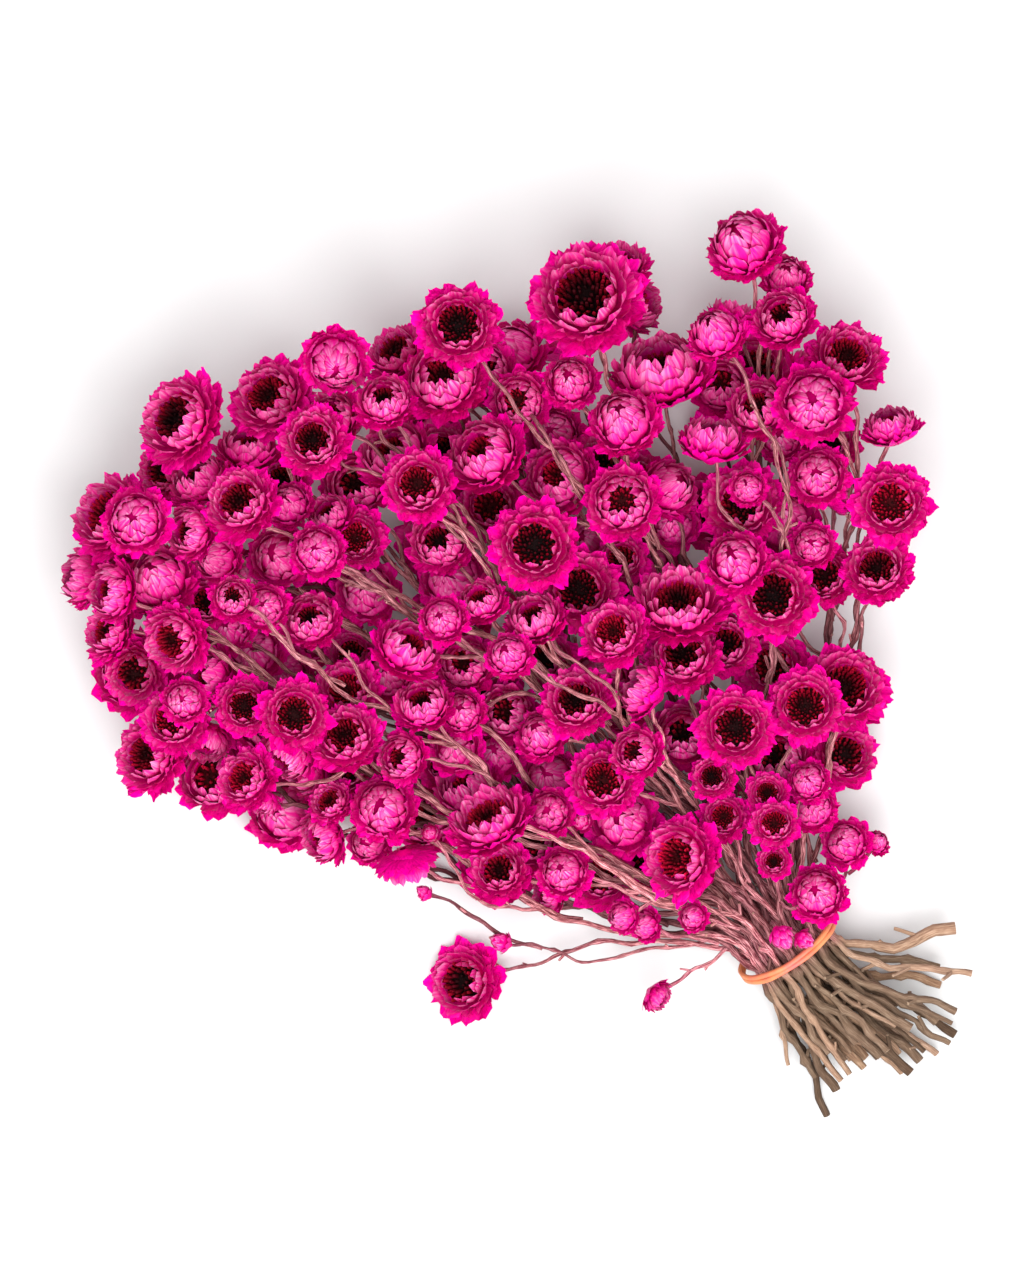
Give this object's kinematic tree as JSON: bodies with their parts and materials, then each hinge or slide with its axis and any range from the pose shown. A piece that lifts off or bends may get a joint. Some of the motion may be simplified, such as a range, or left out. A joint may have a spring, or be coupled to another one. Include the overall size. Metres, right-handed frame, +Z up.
{
  "type": "dried flower bunch",
  "caption": "Tied bunch of dried winged everlasting: papery layered flower heads with dark discs on slim branching stems, held by a rubber band near the cut ends.",
  "frame": {"origin": "on the surface that the bunch lies on, under the middle of its bounding box", "axes": "+Y from the cut ends to the flower heads, +Z up from the surface, +X to the right seen from above with +Y away"},
  "size_m": [0.2614, 0.2996, 0.0808],
  "materials": {
    "bracts": "satin",
    "stems": "matte",
    "discs": "matte",
    "rubber": "satin"
  },
  "bodies": {
    "root": {"spray_01": "bracts", "spray_02": "bracts", "spray_03": "bracts", "spray_04": "bracts", "spray_05": "bracts", "spray_06": "bracts", "spray_07": "bracts", "spray_08": "bracts", "spray_09": "bracts", "spray_10": "bracts", "spray_11": "bracts", "spray_12": "bracts", "spray_13": "bracts", "spray_14": "bracts", "spray_15": "bracts", "spray_16": "bracts", "spray_17": "bracts", "spray_18": "bracts", "spray_19": "bracts", "spray_20": "bracts", "spray_21": "bracts", "spray_22": "bracts", "spray_23": "bracts", "spray_24": "bracts", "spray_25": "bracts", "spray_26": "bracts", "spray_27": "bracts", "spray_28": "bracts", "spray_29": "bracts", "spray_30": "bracts", "spray_31": "bracts", "spray_32": "bracts", "spray_33": "bracts", "spray_34": "bracts", "spray_35": "bracts", "spray_36": "bracts", "spray_37": "bracts", "spray_38": "bracts", "spray_39": "bracts", "spray_40": "bracts", "spray_41": "bracts", "spray_42": "bracts", "spray_43": "bracts", "rubber_band": "rubber"}
  },
  "joints": []
}
